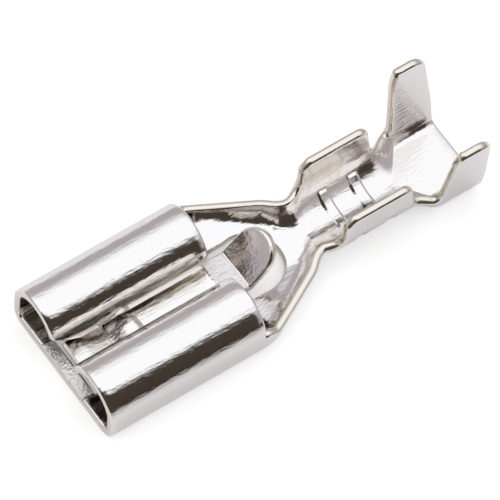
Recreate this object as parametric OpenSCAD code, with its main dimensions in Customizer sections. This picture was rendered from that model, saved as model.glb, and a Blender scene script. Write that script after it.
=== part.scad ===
// Female spade terminal for a 6.3 x 0.8 mm tab: one stamped and folded sheet.
// +X runs from the mouth to the wire end, +Z up, underside at z = 0,
// origin at the middle of the length and width.

/* [Sheet] */
// Thickness of the sheet
sheet_t = 0.4; // [0.36:0.02:0.44]
// Overall length, mouth to wire end
total_len = 20.5; // [20.2:0.1:20.8]

/* [Receptacle] */
// Overall width over the two rolled walls
recept_w = 7.5; // [7.3:0.1:7.7]
// Length of the rolled walls
recept_len = 8; // [7.8:0.1:8.1]
// Outer radius of the corner between floor and wall
corner_r = 0.68; // [0.6:0.02:0.8]
// Outer radius of each rolled-over wall
lobe_r = 1.565; // [1.5:0.005:1.6]
// Height of the centre of each roll above the underside
lobe_z = 1.48; // [1.4:0.02:1.56]
// Height of the lower edge of the rolled-over lips
lip_z = 1.12; // [1.08:0.02:1.2]
// Length of the lead-in cut on each lip
lip_cut_len = 1.5; // [1:0.1:2]
// Height at which the lead-in cut leaves the mouth
lip_cut_z = 2.05; // [1.8:0.05:2.2]
// Size of the bevel on the floor's front edge
mouth_bevel = 0.12; // [0.05:0.01:0.2]

/* [Locking tongue] */
// Width of the tongue
tongue_w = 2.16; // [2:0.02:2.4]
// Width over the slots beside the tongue and of the release hole
slot_w = 3.04; // [2.8:0.04:3.08]
// Distance from the mouth to the tongue's step
tongue_x = 0.7; // [0.6:0.05:0.9]
// Rise of the tongue above the floor
tongue_rise = 0.4; // [0.34:0.02:0.46]
// Distance from the mouth to the steep rear face of the locking nib
nib_x = 3.8; // [3.6:0.1:4.2]
// Length of the locking nib
nib_len = 1.4; // [1.2:0.1:1.6]
// Height of the locking nib
nib_h = 0.3; // [0.2:0.02:0.36]
// Distance from the mouth to the bend of the release pad
pad_x = 9; // [8.8:0.1:9.1]
// Angle of the release pad above the floor
pad_deg = 45; // [35:1:50]
// Length of the release pad
pad_len = 2.1; // [1.9:0.1:2.3]
// Rear end of the release hole
hole_x = 11.2; // [11.1:0.05:11.3]
// Radius of the rounded rear end of the release hole
hole_r = 1.55; // [1.55:0.05:1.7]

/* [Neck] */
// Height of the low flanges beside the neck
flange_z = 1.12; // [1:0.02:1.3]
// Narrowing of each flange per millimetre of length
neck_slope = 0.52; // [0.48:0.01:0.54]

/* [Wire barrels] */
// Inner radius of the conductor barrel
wire_r = 1.5; // [1.44:0.02:1.56]
// Front edge of the conductor wings
wire_x0 = 13.3; // [13.2:0.05:13.4]
// Rear edge of the conductor wings
wire_x1 = 17.05; // [17:0.05:17.1]
// Height of the conductor wings
wire_top = 3.12; // [2.8:0.02:3.4]
// Depth of the serrations across the conductor barrel
groove_d = 0.1; // [0.05:0.01:0.15]
// Height of the bottom of the notches between the wings
notch_z = 1.05; // [0.9:0.05:1.3]
// Front edge of the insulation wings
cover_x0 = 18.3; // [18.2:0.05:18.4]
// Height of the insulation wings
cover_top = 4.95; // [4.5:0.05:5.2]
// Half width of the flat floor of the insulation barrel
cover_floor = 1.3; // [1.2:0.05:1.4]
// Outward lean of the insulation wings
cover_lean = 8; // [5:1:10]

/* [Hidden] */
$fn = 96;
half_w = recept_w / 2;
lobe_y = half_w - lobe_r;
lip_y = lobe_y - lobe_r;
wire_out = wire_r + sheet_t;
tongue_top = sheet_t + tongue_rise;
hole_c = hole_x - hole_r;
seam = 0.01;
coin = 0.03;
keel = 0.05;
bend_n = 10;
wall_run = 6;
big = 30;

function mix(a, b, u) = a + (b - a) * u;
function smooth(u) = u * u * (3 - 2 * u);
function part_of(x, a, b) = min(1, max(0, (x - a) / (b - a)));
function arc(c, r, a0, a1, n) =
  [for (i = [0 : n]) c + r * [cos(mix(a0, a1, i / n)), sin(mix(a0, a1, i / n))]];

// Outline drawn in the Y-Z plane and pushed along +X from x0 to x1
module along_x(x0, x1) {
  translate([x0, 0, 0]) rotate([90, 0, 90]) linear_extrude(height = x1 - x0) children();
}

// Outline drawn in the X-Z plane and pushed evenly either side of the middle
module across_y(w) {
  rotate([90, 0, 0]) linear_extrude(height = w, center = true) children();
}

// Section of one side of the receptacle: floor, corner, wall, roll and lip
module recept_side() {
  square([half_w - corner_r, sheet_t]);
  intersection() {
    translate([half_w - corner_r, corner_r]) ring(corner_r);
    translate([half_w - corner_r, 0]) square([corner_r, corner_r]);
  }
  translate([half_w - sheet_t, corner_r]) square([sheet_t, lobe_z - corner_r]);
  intersection() {
    translate([lobe_y, lobe_z]) ring(lobe_r);
    translate([lip_y, lobe_z]) square([2 * lobe_r, lobe_r]);
  }
  translate([lip_y, lip_z]) square([sheet_t, lobe_z - lip_z]);
}

// Round bend of the sheet with outer radius r
module ring(r) {
  difference() {
    circle(r = r);
    circle(r = r - sheet_t);
  }
}

// Both rolled sides of the receptacle, with the lips cut back at the mouth
module receptacle() {
  difference() {
    along_x(0, recept_len) {
      recept_side();
      mirror([1, 0]) recept_side();
    }
    across_y(2.9) polygon([[-1, lip_cut_z + 0.6], [0, lip_cut_z],
      [lip_cut_len, lip_z], [lip_cut_len, 0.8], [-1, 0.8]]);
    across_y(recept_w - 2 * corner_r) polygon([[-1, sheet_t - mouth_bevel - 1],
      [mouth_bevel + 1, sheet_t + 1], [-1, sheet_t + 1]]);
  }
}

// Shape of the formed tail at a station x
function gather(x) = smooth(part_of(x, 11.6, wire_x0));
function open_out(x) = smooth(part_of(x, wire_x1, cover_x0));
function neck_bend(x) = mix(corner_r, 1.16, part_of(x, recept_len, 11.6));
function neck_y(x) = half_w - neck_slope * max(0, x - 8.64);
function tail_bend(x) =
  mix(mix(neck_bend(x), wire_out, gather(x)), 0.82, open_out(x));
function tail_floor(x) = x < 12 ? neck_y(x) - tail_bend(x)
  : mix(max(keel, mix(neck_y(x) - tail_bend(x), 0, gather(x))), cover_floor, open_out(x));
function tail_lean(x) = cover_lean * open_out(x);
function tail_slant(x) = x < recept_len + 0.3 ? 1
  : mix(sqrt(1 + neck_slope * neck_slope), 1, gather(x));

// Half section of the tail at x, set in from the outer face by d
function half_section(x, d) =
  let(r = tail_bend(x), f = tail_floor(x), a = 90 - tail_lean(x), dy = d * tail_slant(x))
  let(ends = [f + (r - dy) * sin(a), r - (r - d) * cos(a)])
  concat([for (i = [0 : bend_n])
    [f + (r - dy) * sin(a * i / bend_n), r - (r - d) * cos(a * i / bend_n)]],
    [ends + wall_run * [cos(a), sin(a)]]);
function mirrored(half) = concat(
  [for (i = [len(half) - 1 : -1 : 0]) [-half[i][0], half[i][1]]], half);
function placed(x, half) = [for (p = mirrored(half)) [x, p[0], p[1]]];

// Two triangles closing the four-sided patch a, b, c, d
function patch(a, b, c, d) = [[a, c, b], [a, d, c]];

// Stations of the tail, closer together where its shape changes faster
tail_x = concat([recept_len - 0.2, recept_len + 0.02, recept_len + 0.3, 8.64],
  [for (i = [1 : 3]) mix(8.64, 11.6, i / 3)],
  [for (i = [1 : 6]) mix(11.6, wire_x0, i / 6)],
  [for (i = [0 : 5]) mix(wire_x1, cover_x0, i / 5)],
  [total_len + 1]);

function skin_in(x) = x < recept_len + 0.1 ? seam : 0;
function core_in(x) = x < recept_len + 0.1 ? sheet_t - seam
  : sheet_t + coin * part_of(x, wire_x0 - 0.3, wire_x0) * (1 - part_of(x, wire_x1, 17.3));

// Formed sheet from the neck to the wire end, before its edges are cut
module tail_sheet() {
  n = 2 * (bend_n + 2);
  m = len(tail_x);
  outer = [for (x = tail_x) each placed(x, half_section(x, skin_in(x)))];
  inner = [for (x = tail_x) each placed(x, half_section(x, core_in(x)))];
  k = n * m;
  polyhedron(points = concat(outer, inner), faces = concat(
    [for (j = [0 : m - 2], i = [0 : n - 2])
      each patch(j * n + i, j * n + i + 1, (j + 1) * n + i + 1, (j + 1) * n + i)],
    [for (j = [0 : m - 2], i = [0 : n - 2])
      each patch(k + j * n + i, k + (j + 1) * n + i, k + (j + 1) * n + i + 1, k + j * n + i + 1)],
    [for (i = [0 : n - 2]) each patch(i, k + i, k + i + 1, i + 1)],
    [for (i = [0 : n - 2]) each patch((m - 1) * n + i, (m - 1) * n + i + 1,
      k + (m - 1) * n + i + 1, k + (m - 1) * n + i)],
    [for (j = [0 : m - 2]) each patch(j * n, (j + 1) * n, k + (j + 1) * n, k + j * n)],
    [for (j = [0 : m - 2]) each patch(j * n + n - 1, k + j * n + n - 1,
      k + (j + 1) * n + n - 1, (j + 1) * n + n - 1)]));
}

// Side outline of the tail: flange, conductor wing, notch and insulation wing
module tail_outline() {
  polygon(concat(
    [[recept_len - 1, -1], [recept_len - 1, 1.41], [recept_len + 0.1, 1.41]],
    arc([8.85, flange_z + 0.55], 0.55, 210, 270, 5),
    [[12.2, flange_z]],
    arc([12.75, flange_z + 0.5], 0.5, 270, 350, 6),
    [[wire_x0, 2.7]],
    [[wire_x0 + 0.42, wire_top]],
    arc([wire_x1 - 0.68, wire_top - 0.5], 0.5, 90, 0, 6),
    arc([wire_x1 + 0.35, notch_z + 0.35], 0.35, 180, 270, 6),
    arc([cover_x0 - 0.4, notch_z + 0.35], 0.35, 270, 360, 6),
    [[cover_x0 + 0.12, cover_top - 0.75]],
    [[cover_x0 + 0.38, cover_top]],
    arc([total_len - 0.95, cover_top - 0.7], 0.7, 90, 10, 7),
    [[total_len, 1.6], [total_len, -1]]));
}

// Tail with its edges cut and the conductor barrel coined to a true round
module tail() {
  difference() {
    intersection() {
      tail_sheet();
      across_y(big) tail_outline();
    }
    along_x(wire_x0 - 0.1, wire_x1 + 0.2) translate([0, wire_out]) {
      circle(r = wire_r);
      translate([-wire_r, 0]) square([2 * wire_r, 2 * wire_r]);
    }
    for (x = [[14, 14.45], [15.5, 16]])
      along_x(x[0], x[1]) translate([0, wire_out]) circle(r = wire_r + groove_d);
  }
}

// Opening in the floor around the tongue and behind the release pad
module floor_opening() {
  translate([0, 0, -1]) linear_extrude(height = 1.9) {
    translate([tongue_x, -slot_w / 2]) square([hole_c - tongue_x, slot_w]);
    intersection() {
      translate([hole_c, 0]) circle(r = hole_r);
      translate([hole_c, -slot_w / 2]) square([hole_r + 1, slot_w]);
    }
  }
}

// Side view of the tongue: step at the front, flat run, bend and raised pad
module tongue_outline() {
  slope = [cos(pad_deg), sin(pad_deg)];
  square_to = [sin(pad_deg), -cos(pad_deg)];
  bend = [pad_x, tongue_top];
  polygon(concat([[0.4, 0.1], [tongue_x, 0.1], [tongue_x + 0.1, tongue_rise]],
    arc(bend, sheet_t, 270, 270 + pad_deg, 6),
    [bend + pad_len * slope + sheet_t * square_to, bend + pad_len * slope, bend,
    [tongue_x - 0.02, tongue_top], [tongue_x - 0.1, sheet_t - 0.1], [0.4, sheet_t - 0.1]]));
}

// Locking tongue with its nib and its rounded, raised release pad
module tongue() {
  r = tongue_w / 2 + 0.02;
  difference() {
    across_y(tongue_w) tongue_outline();
    translate([pad_x, 0, tongue_top]) rotate([0, -pad_deg, 0])
      translate([0, 0, -1]) linear_extrude(height = 2) difference() {
        translate([pad_len - r, -tongue_w]) square([2 * r, 2 * tongue_w]);
        translate([pad_len - r, 0]) circle(r = r);
      }
  }
  nib();
}

// Locking nib: a dome cut off steeply at its rear
module nib() {
  r = (nib_len * nib_len + nib_h * nib_h) / (2 * nib_h);
  intersection() {
    translate([nib_x, 0, tongue_top + nib_h - r]) rotate([90, 0, 0]) sphere(r = r);
    translate([nib_x - nib_len, -0.8, tongue_top - 0.1]) cube([nib_len, 1.6, 1]);
  }
}

module terminal() {
  color("gainsboro") translate([-total_len / 2, 0, 0]) {
    difference() {
      union() {
        receptacle();
        tail();
      }
      floor_opening();
    }
    tongue();
  }
}

terminal();
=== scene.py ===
"""Female spade terminal: one sheet of plated brass, folded into a receptacle for a flat tab, a neck,
and open barrels for the wire and for its insulation."""

import math

import bpy
from mathutils import Matrix, Vector


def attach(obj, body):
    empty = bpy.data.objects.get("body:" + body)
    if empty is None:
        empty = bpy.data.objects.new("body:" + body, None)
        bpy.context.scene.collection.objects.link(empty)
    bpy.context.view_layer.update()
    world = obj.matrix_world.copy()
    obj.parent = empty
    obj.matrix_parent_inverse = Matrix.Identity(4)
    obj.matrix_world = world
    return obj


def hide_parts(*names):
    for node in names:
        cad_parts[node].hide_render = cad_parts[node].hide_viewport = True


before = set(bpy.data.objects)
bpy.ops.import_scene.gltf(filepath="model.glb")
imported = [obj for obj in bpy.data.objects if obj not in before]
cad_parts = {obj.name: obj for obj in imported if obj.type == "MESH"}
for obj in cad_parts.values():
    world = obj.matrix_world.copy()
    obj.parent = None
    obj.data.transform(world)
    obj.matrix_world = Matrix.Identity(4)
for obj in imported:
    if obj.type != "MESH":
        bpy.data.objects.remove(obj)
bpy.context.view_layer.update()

# ---------------------------------------------------------------- sizes, in millimetres from the mouth

MM = 0.001
WELD = 0.002  # corners closer than this are one

LENGTH = 20.5
HALF_WIDTH = 3.75
SHEET = 0.4
RIM = 0.13  # how far a rounded cut edge swells out of its blank

# Receptacle: side walls rolled over and down to their lips, which are cut away a little at the mouth
RECEPT_LEN = 8.0
CORNER_R = 0.68
SHOULDER_Z = 1.41
ROLL_R = 1.565
ROLL_Y = HALF_WIDTH - ROLL_R
ROLL_Z = 1.48
LIP_Z = 1.12
LIP_CUT_LEN = 1.5
LIP_CUT_Z = 2.05

# Slot in the floor, with the release hole at its rear
SLOT_X = 0.72
SLOT_HALF = 1.52
HOLE_R = 1.55
HOLE_END = 11.2
HOLE_C = HOLE_END - HOLE_R

# Locking tongue in the slot, one sheet higher than the floor, with its nib and its turned-up pad
TONGUE_X = SLOT_X - 0.01
TONGUE_HALF = 1.08
TONGUE_Z = SHEET
TONGUE_DIP = 0.28
TONGUE_BEND = SHEET + 0.12
NIB_X = 3.8
NIB_LEN = 1.4
NIB_H = 0.3
NIB_BOW = 0.25
NIB_HALF = 0.8
PAD_X = 9.0
PAD_LEN = 2.1
PAD_DEG = 45.0

# Neck: walls cut down to low flanges and drawn in, and the floor tilted up towards them
NECK_X = 8.64
NECK_SLOPE = 0.52
NECK_BEND = 1.16
FLANGE_Z = 1.12
FLANGE_RISE = 0.1
COVE_Y = 1.0
COVE_SLOPE = 0.25

# Conductor barrel: a half round, with a wing on each side whose front corner is cut at a slope
WIRE_R = 1.9
WIRE_X0 = 13.3
WIRE_X1 = 17.05
WIRE_TOP = 3.12
WIRE_START = 12.5
WIRE_FILLET_X = 12.52
WIRE_FILLET_R = 0.74
WIRE_SLOPE = (13.72, 2.65)
WIRE_REAR_X = 16.87
WIRE_CORNER_R = 0.5

# Notch on each side between the barrels
NOTCH_Z = 1.05
NOTCH_R = 0.35

# Insulation barrel: a flat floor and two tall wings that lean outwards
COVER_X0 = 18.3
COVER_FLOOR = 1.3
COVER_BEND = 0.82
COVER_LEAN = 8.0
COVER_TOP = 4.91
COVER_START = 17.85
COVER_FRONT_X = 18.25
COVER_FRONT_TOP = (18.42, 4.15)
COVER_SLOPE_X = 18.68
COVER_TAPER_Z = 1.6
COVER_REAR_TOP = (20.25, 4.25)
COVER_CORNER_R = 0.7

# Stretches over which the section changes from one form to the next
SHOULDER_DROP = (RECEPT_LEN + 0.1, 8.9)
WIDEN_BEND = (RECEPT_LEN, 11.6)
GATHER = (11.6, WIRE_X0)
OPEN_OUT = (WIRE_X1, COVER_X0)
FLANGE_LIFT = (11.2, 12.5)
NOTCH_DROP = (14, 17)
COVE_IN = (8.1, 9.0)
COVE_OUT = (11.9, 13.0)
DIP_DOWN = (1.35, 2.6)
DIP_UP = (2.65, NIB_X)

# Serrations: where they lie along the barrel, how deep, and how far they run up from the middle
SERRATIONS = ((14.0, 14.45), (15.5, 16.0))
SERRATION_DEPTH = 0.08
SERRATION_SOFT = 0.03
SERRATION_RUN = 1.4
SERRATION_FADE = 0.25
DENT_REACH = 0.7
FACE_SLACK = 0.05


# ---------------------------------------------------------------- the formed section, station by station


def mix(a, b, u):
    return a + (b - a) * u


def between(x, a, b):
    """How far x has come from a to b, from 0 to 1."""
    return min(1.0, max(0.0, (x - a) / (b - a)))


def smooth(u):
    return u * u * (3 - 2 * u)


def formed(x):
    """Half width of the flat floor, radius of the bend and the turn of the bend, in radians."""
    gather = smooth(between(x, *GATHER))
    opening = smooth(between(x, *OPEN_OUT))
    neck_bend = mix(CORNER_R, NECK_BEND, between(x, *WIDEN_BEND))
    neck_y = HALF_WIDTH - NECK_SLOPE * max(0.0, x - NECK_X)
    bend = mix(mix(neck_bend, WIRE_R, gather), COVER_BEND, opening)
    floor = mix(max(0.0, mix(neck_y - bend, 0.0, gather)), COVER_FLOOR, opening)
    return floor, bend, math.radians(90 - COVER_LEAN * opening)


def side(x, z):
    """A point of the outer face at this station and height."""
    floor, bend, turn = formed(x)
    top = bend * (1 - math.cos(turn))
    if z <= top:
        return Vector((x, floor + bend * math.sin(math.acos(1 - z / bend)), z))
    return Vector((x, floor + bend * math.sin(turn) + (z - top) / math.tan(turn), z))


def flange_z(x):
    """Height of the blank's edge along the receptacle, the neck and the notches."""
    drop = smooth(between(x, *SHOULDER_DROP))
    rise = FLANGE_RISE * smooth(between(x, *FLANGE_LIFT))
    return mix(mix(SHOULDER_Z, FLANGE_Z, drop) + rise, NOTCH_Z, between(x, *NOTCH_DROP)) - RIM


def cove(p):
    """Tilts the neck's floor up a little on each side, towards its flanges."""
    slope = COVE_SLOPE * smooth(between(p.x, *COVE_IN)) * (1 - smooth(between(p.x, *COVE_OUT)))
    return p + Vector((0, 0, slope * max(0.0, p.y - COVE_Y) * max(0.0, 1 - p.z / FLANGE_Z)))


def along_section(x, s):
    """A point of the outer face, s millimetres along the section from the middle of the floor."""
    floor, bend, turn = formed(x)
    if s <= floor:
        return cove(Vector((x, s, 0)))
    a = min((s - floor) / bend, turn)
    rest = max(0.0, s - floor - bend * turn)
    y = floor + bend * math.sin(a) + rest * math.cos(turn)
    return cove(Vector((x, y, bend - bend * math.cos(a) + rest * math.sin(turn))))


def flange_run(x):
    """Length along the section from the middle of the floor to the flange's edge."""
    floor, bend, turn = formed(x)
    z = flange_z(x)
    top = bend * (1 - math.cos(turn))
    if z <= top:
        return floor + bend * math.acos(1 - z / bend)
    return floor + bend * turn + (z - top) / math.sin(turn)


def inner_edge(x):
    """Where the floor starts: at the slot, at the release hole or at the middle."""
    if x <= HOLE_C:
        return SLOT_HALF + RIM
    return math.sqrt(max(0.0, (HOLE_R + RIM) ** 2 - (x - HOLE_C) ** 2))


# ---------------------------------------------------------------- making pieces from flat blanks


def in_frame(x):
    """A distance from the mouth as the frame's x, in metres."""
    return (x - LENGTH / 2) * MM


def select_only(*things):
    bpy.ops.object.select_all(action="DESELECT")
    for t in things:
        t.select_set(True)
    bpy.context.view_layer.objects.active = things[0]


def edit_all(piece):
    """Opens a piece for editing, with all of it selected."""
    select_only(piece)
    bpy.ops.object.mode_set(mode="EDIT")
    bpy.ops.mesh.select_all(action="SELECT")


def blank(name, cols, rows, shape):
    """A flat grid blank pressed to shape. shape(i, j) gives a corner, in millimetres from the mouth."""
    bpy.ops.object.select_all(action="DESELECT")
    bpy.ops.mesh.primitive_grid_add(x_subdivisions=cols, y_subdivisions=rows, size=1)
    piece = bpy.context.object
    piece.name = name
    for v in piece.data.vertices:
        p = shape(round((v.co.x + 0.5) * cols), round((v.co.y + 0.5) * rows))
        v.co = Vector((in_frame(p.x), p.y * MM, p.z * MM))
    return piece


def apply(piece, kind, **settings):
    """Adds a modifier and applies it."""
    select_only(piece)
    m = piece.modifiers.new(kind.lower(), kind)
    for k, v in settings.items():
        setattr(m, k, v)
    bpy.ops.object.modifier_apply(modifier=m.name)


def weld(piece):
    """Joins the corners that meet and makes the faces agree on a side."""
    edit_all(piece)
    bpy.ops.mesh.remove_doubles(threshold=WELD * MM)
    bpy.ops.mesh.normals_make_consistent(inside=False)
    bpy.ops.object.mode_set(mode="OBJECT")


def face_down(piece):
    """Turns an open sheet so that its outer face, the underside, points down."""
    low = min(piece.data.polygons, key=lambda p: (p.center.z, p.center.x))
    if low.normal.z > 0:
        edit_all(piece)
        bpy.ops.mesh.flip_normals()
        bpy.ops.object.mode_set(mode="OBJECT")


def press_serrations(piece):
    """Presses the serrations: ribs inside the conductor barrel, and longer dents under it."""
    for v in piece.data.vertices:
        x, y, z = v.co.x / MM + LENGTH / 2, v.co.y / MM, v.co.z / MM
        away = Vector((0, y, z - WIRE_R))
        if z > WIRE_R or not WIRE_R - SHEET - FACE_SLACK <= away.length <= WIRE_R + FACE_SLACK:
            continue
        run = (WIRE_R - SHEET) * math.atan2(abs(y), WIRE_R - z)
        reach = SERRATION_RUN + (DENT_REACH if away.length > WIRE_R - SHEET / 2 else 0)
        fade = 1 - smooth(between(run, reach - SERRATION_FADE, reach))
        for a, b in SERRATIONS:
            into = between(x, a - SERRATION_SOFT, a + SERRATION_SOFT)
            past = between(x, b - SERRATION_SOFT, b + SERRATION_SOFT)
            v.co -= away.normalized() * SERRATION_DEPTH * into * (1 - past) * fade * MM


# What each corner of the rim carries while it is rounded: 0 on the outer face and 1 on the inner, the
# way across the sheet, and the way out of the cut edge. The cuts between two corners take a blend.
RIM_NOTES = {"through": "FLOAT", "span": "FLOAT_VECTOR", "swell": "FLOAT_VECTOR"}
RIM_CUTS = 7
SHEARED = (0.3, 0.7)  # the part of the rim, from outer face to inner, that looks sheared


def note_rim(mesh, outside):
    """Writes the rim's notes. The first vertices, as many as outside, are the outer face, and the rest
    repeat them inside."""
    out = [Vector() for _ in mesh.vertices]
    for f in mesh.polygons:
        if f.material_index == 1:
            for k in f.vertices:
                out[k] += f.normal
    for name, kind in RIM_NOTES.items():
        mesh.attributes.new(name, kind, "POINT")
    through, span, swell = (mesh.attributes[name].data for name in RIM_NOTES)
    for v in mesh.vertices:
        k = v.index % outside
        through[v.index].value = float(v.index >= outside)
        span[v.index].vector = mesh.vertices[k + outside].co - mesh.vertices[k].co
        swell[v.index].vector = out[v.index].normalized()


def cut_rim(piece, outside):
    """Cuts the edges that join the two faces, which splits the rim into narrow strips."""
    mesh = piece.data
    rungs = [e.index for e in mesh.edges if abs(e.vertices[0] - e.vertices[1]) == outside]
    edit_all(piece)
    bpy.ops.mesh.select_mode(type="EDGE")
    bpy.ops.mesh.select_all(action="DESELECT")
    bpy.ops.object.mode_set(mode="OBJECT")
    for k in rungs:
        mesh.edges[k].select = True
    bpy.ops.object.mode_set(mode="EDIT")
    bpy.ops.mesh.subdivide(number_cuts=RIM_CUTS)
    bpy.ops.object.mode_set(mode="OBJECT")


def swell_rim(mesh):
    """Bows the rim out to a half ellipse, and gives all but its middle the plated look of the faces."""
    through, span, swell = (mesh.attributes[name].data for name in RIM_NOTES)
    for v in mesh.vertices:
        t = through[v.index].value
        v.co += span[v.index].vector * ((1 - math.cos(math.pi * t)) / 2 - t)
        v.co += swell[v.index].vector.normalized() * math.sin(math.pi * t) * RIM * MM
    for f in mesh.polygons:
        if f.material_index == 1:
            t = sum(through[k].value for k in f.vertices) / len(f.vertices)
            f.material_index = int(SHEARED[0] < t < SHEARED[1])
    for name in RIM_NOTES:
        mesh.attributes.remove(mesh.attributes[name])


def thicken(piece):
    """Gives the sheet its thickness inwards, rounds its sheared edges and presses the serrations."""
    outside = len(piece.data.vertices)
    apply(piece, "SOLIDIFY", thickness=SHEET * MM, offset=-1, use_quality_normals=True,
          material_offset_rim=1)
    note_rim(piece.data, outside)
    cut_rim(piece, outside)
    swell_rim(piece.data)
    press_serrations(piece)


# ---------------------------------------------------------------- stations and rows of the blank

FRONT = RIM
REAR = LENGTH - RIM
SLOT_FRONT = SLOT_X - RIM
ROLL_END = RECEPT_LEN - RIM

# Stations along the length, closer together where the section changes fast
COLS = [FRONT, 0.35, SLOT_FRONT, 0.9, 1.2, 1.6] + [0.8 * i for i in range(3, 10)] + [7.6, ROLL_END]
COLS += [8.0, 8.12, 8.25, 8.4, 8.55, 8.7, 8.9, 9.15, 9.4, HOLE_C]
COLS += [HOLE_C + (HOLE_R + RIM) * math.sin(math.radians(a)) for a in range(10, 91, 8)]
COLS += [11.5, 11.75] + [12.0 + 0.12 * i for i in range(11)] + [13.5, 13.75]
COLS += [x + d for s in SERRATIONS for x in s for d in (-0.07, -SERRATION_SOFT, SERRATION_SOFT, 0.07)]
COLS += [sum(s) / 2 for s in SERRATIONS]
COLS += [14.75, 15.1, 16.3, 16.7] + [WIRE_X1 + 0.1 * i for i in range(13)]
COLS += [COVER_X0, 18.5, 18.8, 19.2, 19.6, 20.0, REAR]
COLS = sorted(set(round(x, 4) for x in COLS))
ROLL_COLS = [x for x in COLS if x <= ROLL_END]
WIRE_COLS = [x for x in COLS if WIRE_START <= x <= WIRE_X1 + NOTCH_R]
COVER_COLS = [x for x in COLS if x >= COVER_START]

FLOOR_ROWS = 6
FLOOR_SHARE = 0.25  # the least share of the section that the floor's rows cover
BEND_ROWS = 24
ROLL_ROWS = 40
LIP_ROWS = 3
MOUTH_COLS = COLS.index(SLOT_FRONT)
MOUTH_ROWS = 3


def tray(i, j):
    """Floor, bend and low flange, the whole length of the terminal."""
    x = COLS[i]
    start, end = inner_edge(x), flange_run(x)
    first = max(formed(x)[0] - start, FLOOR_SHARE * (end - start))
    if j <= FLOOR_ROWS:
        return along_section(x, start + first * j / FLOOR_ROWS)
    return along_section(x, mix(start + first, end, (j - FLOOR_ROWS) / BEND_ROWS))


def mouth_floor(i, j):
    """The floor in front of the tongue."""
    return Vector((COLS[i], inner_edge(0) * j / MOUTH_ROWS, 0))


def roll(i, j):
    """Side wall, rolled over and down to its lip, with the lead-in cut at the mouth."""
    if j == 0:
        y, z = HALF_WIDTH, SHOULDER_Z - RIM
    elif j <= ROLL_ROWS + 1:
        a = math.pi * (j - 1) / ROLL_ROWS
        y, z = ROLL_Y + ROLL_R * math.cos(a), ROLL_Z + ROLL_R * math.sin(a)
    else:
        y, z = ROLL_Y - ROLL_R, mix(ROLL_Z, LIP_Z + RIM, (j - ROLL_ROWS - 1) / LIP_ROWS)
    cut = between(z, LIP_CUT_Z, LIP_Z) * LIP_CUT_LEN if y < ROLL_Y else 0.0
    return Vector((mix(FRONT + cut, ROLL_END, between(ROLL_COLS[i], FRONT, ROLL_END)), y, z))


def arc(cx, cz, r, a0, a1, n):
    """A round stretch of an edge in n steps, from angle a0 to a1, as (x, z)."""
    angles = (math.radians(mix(a0, a1, k / n)) for k in range(n + 1))
    return [(cx + r * math.cos(a), cz + r * math.sin(a)) for a in angles]


def run_to(edge, x, z, n):
    """An edge continued by a straight stretch in n steps."""
    x0, z0 = edge[-1]
    return edge + [(mix(x0, x, k / n), mix(z0, z, k / n)) for k in range(1, n + 1)]


def wire_edges():
    """Front and rear edge of the conductor barrel's wing, from the flange up, less the rim."""
    slope_x, slope_z = WIRE_SLOPE
    foot_z = FLANGE_Z + FLANGE_RISE + WIRE_FILLET_R
    front = arc(WIRE_FILLET_X, foot_z, WIRE_FILLET_R + RIM, 270, 352, 6)
    front = run_to(front, WIRE_X0 + RIM, slope_z, 6)
    front = run_to(front, slope_x + RIM / 2, WIRE_TOP - RIM, 3)
    rear = arc(WIRE_X1 + NOTCH_R, NOTCH_Z + NOTCH_R, NOTCH_R + RIM, 270, 180, 5)
    corner_x, corner_z = WIRE_REAR_X - WIRE_CORNER_R, WIRE_TOP - WIRE_CORNER_R
    rear = run_to(rear, WIRE_REAR_X - RIM, corner_z, 4)
    return front, rear + arc(corner_x, corner_z, WIRE_CORNER_R - RIM, 0, 90, 6)[1:]


def cover_edges():
    """Front and rear edge of the insulation barrel's wing, from the flange up, less the rim."""
    top_x, top_z = COVER_FRONT_TOP
    front = arc(COVER_FRONT_X - NOTCH_R, NOTCH_Z + NOTCH_R, NOTCH_R + RIM, 270, 360, 5)
    front = run_to(front, top_x + RIM, top_z, 7)
    front = run_to(front, COVER_SLOPE_X + RIM / 2, COVER_TOP - RIM, 3)
    rear_x, rear_z = COVER_REAR_TOP
    rear = run_to([(REAR, NOTCH_Z - RIM)], REAR, COVER_TAPER_Z, 2)
    rear = run_to(rear, rear_x - RIM, rear_z, 6)
    return front, rear + arc(rear_x - COVER_CORNER_R, rear_z, COVER_CORNER_R - RIM, 0, 90, 7)[1:]


def wing(cols, front, rear):
    """A wing stretched between its flange, its two edges and its straight top: the blank's columns and
    rows, and its shape."""
    last, top = len(cols) - 1, len(front) - 1

    def shape(i, j):
        if j == 0:
            return along_section(cols[i], flange_run(cols[i]))
        u, v = i / last, j / top
        low = (cols[i], flange_z(cols[i]))
        high = (mix(front[top][0], rear[top][0], u), front[top][1])
        x, z = (
            mix(front[j][k], rear[j][k], u) + mix(low[k], high[k], v)
            - mix(mix(front[0][k], rear[0][k], u), mix(front[top][k], rear[top][k], u), v)
            for k in (0, 1)
        )
        return side(x, z)

    return last, top, shape


def tongue_z(x):
    """Height of the tongue's underside: level at its front end, dipping to the nib, then level."""
    return TONGUE_Z - TONGUE_DIP * between(x, *DIP_DOWN) * (1 - smooth(between(x, *DIP_UP)))


def tongue_path():
    """Underside of the tongue from its front end to the end of its bend, as (x, z)."""
    level = [TONGUE_X + RIM, 0.95, 1.1, 1.25] + [1.3 + 0.1 * k for k in range(14)]
    level += [2.65 + 0.09 * k for k in range(11)]
    level += [NIB_X + d for d in (-0.12, -0.06, -0.03, 0, 0.04, 0.1, 0.2)]
    level += [4.3, 5, 6, 7, 7.8, 8.4, 8.75]
    bend = arc(PAD_X - 0.08, TONGUE_Z + TONGUE_BEND, TONGUE_BEND, 270, 270 + PAD_DEG, 6)
    return [(x, tongue_z(x)) for x in level] + bend


TONGUE_PATH = tongue_path()
PAD_COLS = 8
TONGUE_ROWS = 24


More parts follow.
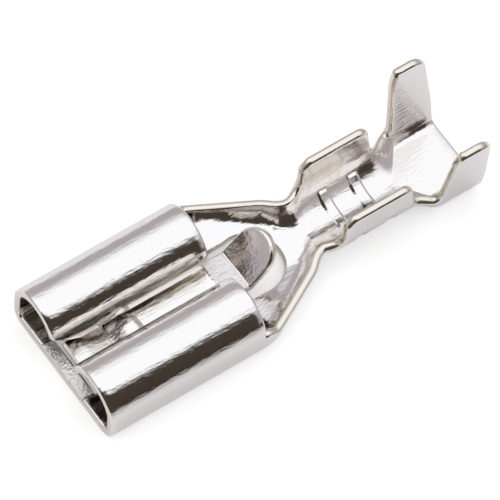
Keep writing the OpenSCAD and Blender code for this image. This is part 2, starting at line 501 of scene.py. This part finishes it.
def nib(x, y):
    """Height of the locking nib: a long slope in front, a steep curved face behind."""
    rear = NIB_X - NIB_BOW * (y / NIB_HALF) ** 2
    rise = smooth(between(x, rear - NIB_LEN, rear - 0.1))
    fall = 1 - smooth(between(x, rear - 0.08, rear + 0.06))
    return NIB_H * rise * fall * (1 - smooth(between(abs(y), 0.3, NIB_HALF + 0.05)))


def tongue(i, j):
    """Locking tongue with its nib, and behind its bend the pad with its round end."""
    a = math.pi * (j / TONGUE_ROWS - 0.5)
    half = TONGUE_HALF - RIM
    y = half * math.sin(a)
    if i < len(TONGUE_PATH):
        x, z = TONGUE_PATH[i]
        return Vector((x, y, z + nib(x, y)))
    x, z = TONGUE_PATH[-1]
    run = (PAD_LEN - TONGUE_HALF) + half * math.cos(a)
    s = run * (i - len(TONGUE_PATH) + 1) / PAD_COLS
    t = math.radians(PAD_DEG)
    return Vector((x + s * math.cos(t), y, z + s * math.sin(t)))


def make_body():
    """All of the sheet but the tongue: one half, welded from its blanks, and its mirror image."""
    half = [
        blank("tray", len(COLS) - 1, FLOOR_ROWS + BEND_ROWS, tray),
        blank("mouth", MOUTH_COLS, MOUTH_ROWS, mouth_floor),
        blank("roll", len(ROLL_COLS) - 1, ROLL_ROWS + 1 + LIP_ROWS, roll),
        blank("wire_wing", *wing(WIRE_COLS, *wire_edges())),
        blank("cover_wing", *wing(COVER_COLS, *cover_edges())),
    ]
    select_only(*half)
    bpy.ops.object.join()
    body = half[0]
    weld(body)
    apply(body, "MIRROR", use_axis=(False, True, False), merge_threshold=WELD * MM)
    weld(body)
    face_down(body)
    return body


def make_tongue():
    strip = blank("tongue", len(TONGUE_PATH) - 1 + PAD_COLS, TONGUE_ROWS, tongue)
    weld(strip)
    face_down(strip)
    return strip


def make_terminal(plated, sheared):
    """The whole folded sheet, plated on its faces and sheared on the middle of its rim."""
    body, strip = make_body(), make_tongue()
    for piece in (body, strip):
        piece.data.materials.append(plated)
        piece.data.materials.append(sheared)
        thicken(piece)
    select_only(body, strip)
    bpy.ops.object.join()
    select_only(body)
    bpy.ops.object.shade_smooth()
    body.name = "folded_terminal"
    return body


# ---------------------------------------------------------------- materials

# Patterns of the plated faces, in millimetres: rolling lines, waves and the frosted marks' pits, each
# with its height. They are drawn coarser than they are, so that they show
LINE_GAP = 0.13
LINE_LEN = 0.5
LINE_H = 0.014
WAVE_LEN = 1.4
WAVE_H = 0.006
PIT_GAP = 0.12
PIT_H = 0.06
EDGE_GRAIN = 1 / 6

# Where the tools left frosted marks along the length
TONGUE_MARK = (7.9, PAD_X - 0.15)
MOUTH_MARK = (-LENGTH / 2, SLOT_X)


def linear(code):
    """An sRGB hex colour as linear RGBA."""
    parts = [int(code[k : k + 2], 16) / 255 for k in (0, 2, 4)]
    return [c / 12.92 if c <= 0.04045 else ((c + 0.055) / 1.055) ** 2.4 for c in parts] + [1.0]


def add(tree, kind, links=None, **settings):
    """Adds a node; settings are its properties or its inputs' values, links its inputs' sources."""
    n = tree.nodes.new(kind)
    for k, v in settings.items():
        if hasattr(n, k):
            setattr(n, k, v)
        else:
            n.inputs[k.replace("_", " ")].default_value = v
    for k, source in (links or {}).items():
        tree.links.new(source, n.inputs[k])
    return n


def new_material(name):
    m = bpy.data.materials.new(name)
    m.use_nodes = True
    m.node_tree.nodes.clear()
    return m, m.node_tree


def times(t, a, b):
    return add(t, "ShaderNodeMath", {0: a, 1: b}, operation="MULTIPLY").outputs["Value"]


def within(t, value, low, high, soft):
    """1 where the value lies between low and high, falling to 0 over the soft distance."""
    up = add(t, "ShaderNodeMapRange", {"Value": value}, From_Min=low - soft, From_Max=low)
    down = add(t, "ShaderNodeMapRange", {"Value": value}, From_Min=high + soft, From_Max=high)
    return times(t, up.outputs["Result"], down.outputs["Result"])


def tool_marks(t, place):
    """1 on the faces that the tools left frosted: the tongue before its bend, and the mouth's floor."""
    split = add(t, "ShaderNodeSeparateXYZ", {"Vector": place.outputs["Object"]})
    x, y, z = (split.outputs[k] for k in "XYZ")
    tongue_mark = within(t, x, *map(in_frame, TONGUE_MARK), 0.1 * MM)
    mouth_mark = within(t, x, *map(in_frame, MOUTH_MARK), 0.05 * MM)
    either = add(t, "ShaderNodeMath", {0: tongue_mark, 1: mouth_mark}, operation="ADD")
    low = within(t, z, 0, (TONGUE_Z + SHEET + 0.05) * MM, 0.02 * MM)
    middle = within(t, y, -SLOT_HALF * MM, SLOT_HALF * MM, 0.1 * MM)
    return times(t, either.outputs["Value"], times(t, low, middle))


def nickel_plated_brass():
    """Brass strip with a bright nickel plate, stamped and rolled: a near mirror whose reflections are
    drawn out and frayed by fine rolling lines along its length, waved a little by the folding, and
    frosted in two places where the tools pressed it."""
    m, t = new_material("nickel_plated_brass")
    place = add(t, "ShaderNodeTexCoord")
    stretch = (1 / (LINE_LEN * MM), 1 / (LINE_GAP * MM), 1 / (LINE_GAP * MM))
    along = add(t, "ShaderNodeMapping", {"Vector": place.outputs["Object"]}, Scale=stretch)
    lines = add(t, "ShaderNodeTexNoise", {"Vector": along.outputs["Vector"]}, Scale=1.0, Detail=3.0)
    waves = add(t, "ShaderNodeTexNoise", {"Vector": place.outputs["Object"]},
                Scale=1 / (WAVE_LEN * MM), Detail=1.0)
    frost = add(t, "ShaderNodeTexNoise", {"Vector": place.outputs["Object"]},
                Scale=1 / (PIT_GAP * MM), Detail=3.0)
    marks = tool_marks(t, place)
    rough = add(t, "ShaderNodeMapRange", {"Value": marks}, To_Min=0.09, To_Max=0.35)
    fine = add(t, "ShaderNodeBump", {"Height": lines.outputs["Fac"]}, Strength=1.0, Distance=LINE_H * MM)
    broad = add(t, "ShaderNodeBump", {"Height": waves.outputs["Fac"], "Normal": fine.outputs["Normal"]},
                Strength=1.0, Distance=WAVE_H * MM)
    pitted = times(t, frost.outputs["Fac"], marks)
    pits = add(t, "ShaderNodeBump", {"Height": pitted, "Normal": broad.outputs["Normal"]},
               Strength=1.0, Distance=PIT_H * MM)
    metal = add(t, "ShaderNodeBsdfPrincipled",
                {"Roughness": rough.outputs["Result"], "Normal": pits.outputs["Normal"]},
                Metallic=1.0, Base_Color=linear("EEEAE5"))
    add(t, "ShaderNodeOutputMaterial", {"Surface": metal.outputs["BSDF"]})
    return m


def sheared_edge():
    """The sheared edge of the strip: nickel over bare brass, a little warmer and rougher."""
    m, t = new_material("sheared_edge")
    place = add(t, "ShaderNodeTexCoord")
    grain = add(t, "ShaderNodeTexNoise", {"Vector": place.outputs["Object"]},
                Scale=1 / (EDGE_GRAIN * MM), Detail=2.0)
    rough = add(t, "ShaderNodeMapRange", {"Value": grain.outputs["Fac"]}, To_Min=0.15, To_Max=0.30)
    metal = add(t, "ShaderNodeBsdfPrincipled", {"Roughness": rough.outputs["Result"]},
                Metallic=1.0, Base_Color=linear("E9E2D3"))
    add(t, "ShaderNodeOutputMaterial", {"Surface": metal.outputs["BSDF"]})
    return m


terminal = make_terminal(nickel_plated_brass(), sheared_edge())
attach(terminal, "root")
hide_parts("terminal")


# ---------------------------------------------------------------- table, tent and camera

# The table: its size in metres, how far it lies under the terminal, and where on the near side, in
# millimetres from the middle, its reflection starts to darken and is dark
TABLE_SIZE = 1.2
TABLE_GAP = 0.03
TABLE_PALE_TO = -5.5
TABLE_DARK_FROM = -18.0

# The tent: the heights, as the upward part of a direction, between which it turns from grey to white,
# and the direction in which it stands open to the dark room, with the soft edge of that opening
TENT_GREY, TENT_WHITE = 0.50, 0.82
OPEN_SIDE = (-0.45, -0.85, 0.30)
OPEN_EDGE, OPEN_FULL = 0.52, 0.66

# The camera: the side it stands on and its turn, in degrees, its aim, distance, sensor and lens in
# millimetres, and its clipping distances in metres
CAMERA_AZIMUTH = -39.0511
CAMERA_ELEVATION = 59.8437
CAMERA_TURN = 5.3718
CAMERA_AIM = (-1.0815, -0.5856, 3.0918)
CAMERA_DISTANCE = 320.53
CAMERA_SENSOR = 12
CAMERA_LENS = 181.23
CAMERA_CLIP = (0.02, 5)


def make_table():
    """A pale table. In the metal it shows pale grey, and dark where it lies far out on the near side."""
    bpy.ops.object.select_all(action="DESELECT")
    bpy.ops.mesh.primitive_plane_add(size=TABLE_SIZE, location=(0, 0, -TABLE_GAP * MM))
    table = bpy.context.object
    table.name = "table"
    m, t = new_material("pale_table")
    path = add(t, "ShaderNodeLightPath")
    pale = add(t, "ShaderNodeBsdfDiffuse", Color=linear("F4F4F4"))
    white = add(t, "ShaderNodeEmission", Strength=0.32)
    plain = add(t, "ShaderNodeAddShader", {0: pale.outputs["BSDF"], 1: white.outputs["Emission"]})
    place = add(t, "ShaderNodeTexCoord")
    split = add(t, "ShaderNodeSeparateXYZ", {"Vector": place.outputs["Object"]})
    away = add(t, "ShaderNodeMapRange", {"Value": split.outputs["Y"]},
               From_Min=TABLE_PALE_TO * MM, From_Max=TABLE_DARK_FROM * MM)
    tone = add(t, "ShaderNodeMix", {"Factor": away.outputs["Result"]}, data_type="RGBA",
               A=linear("F2F1F6"), B=linear("3A3028"))
    mirrored = add(t, "ShaderNodeBsdfDiffuse", {"Color": tone.outputs["Result"]})
    pick = add(t, "ShaderNodeMixShader", {0: path.outputs["Is Glossy Ray"],
                                          1: plain.outputs["Shader"], 2: mirrored.outputs["BSDF"]})
    add(t, "ShaderNodeOutputMaterial", {"Surface": pick.outputs["Shader"]})
    table.data.materials.append(m)


def make_world():
    """A soft white tent, greyer low down and open on the near side. Only the metal sees its tones."""
    world = bpy.data.worlds.new("studio")
    bpy.context.scene.world = world
    world.use_nodes = True
    t = world.node_tree
    t.nodes.clear()
    place = add(t, "ShaderNodeTexCoord")
    split = add(t, "ShaderNodeSeparateXYZ", {"Vector": place.outputs["Generated"]})
    up = add(t, "ShaderNodeMapRange", {"Value": split.outputs["Z"]},
             From_Min=TENT_GREY, From_Max=TENT_WHITE)
    cloth = add(t, "ShaderNodeMix", {"Factor": up.outputs["Result"]}, data_type="RGBA",
                A=linear("A6A1A6"), B=linear("F5F8FF"))
    toward = add(t, "ShaderNodeVectorMath", {0: place.outputs["Generated"]}, operation="DOT_PRODUCT")
    toward.inputs[1].default_value = OPEN_SIDE
    opening = add(t, "ShaderNodeMapRange", {"Value": toward.outputs["Value"]},
                  interpolation_type="SMOOTHSTEP", From_Min=OPEN_EDGE, From_Max=OPEN_FULL)
    all_round = add(t, "ShaderNodeMix",
                    {"Factor": opening.outputs["Result"], "A": cloth.outputs["Result"]},
                    data_type="RGBA", B=linear("3A332B"))
    path = add(t, "ShaderNodeLightPath")
    tent = add(t, "ShaderNodeBackground", {"Color": all_round.outputs["Result"]}, Strength=1.24)
    white = add(t, "ShaderNodeBackground", Color=linear("FFFFFF"), Strength=1.0)
    pick = add(t, "ShaderNodeMixShader", {0: path.outputs["Is Glossy Ray"],
                                          1: white.outputs["Background"], 2: tent.outputs["Background"]})
    add(t, "ShaderNodeOutputWorld", {"Surface": pick.outputs["Shader"]})


def make_camera():
    """Looks down on the terminal past its mouth, slightly turned."""
    angles = (CAMERA_AZIMUTH, CAMERA_ELEVATION, CAMERA_TURN)
    azimuth, elevation, turn = (math.radians(a) for a in angles)
    back = Vector((math.sin(azimuth) * math.cos(elevation),
                   -math.cos(azimuth) * math.cos(elevation), math.sin(elevation)))
    level = Vector((math.cos(azimuth), math.sin(azimuth), 0))
    right = math.cos(turn) * level + math.sin(turn) * back.cross(level)
    data = bpy.data.cameras.new("camera")
    data.sensor_width = CAMERA_SENSOR
    data.lens = CAMERA_LENS
    data.clip_start, data.clip_end = CAMERA_CLIP
    camera = bpy.data.objects.new("camera", data)
    bpy.context.collection.objects.link(camera)
    turned = Matrix((right, back.cross(right), back)).transposed().to_4x4()
    stand = Vector(CAMERA_AIM) * MM + back * (CAMERA_DISTANCE * MM)
    camera.matrix_world = Matrix.Translation(stand) @ turned
    bpy.context.scene.camera = camera


make_table()
make_world()
make_camera()
bpy.context.scene.view_settings.view_transform = "Standard"
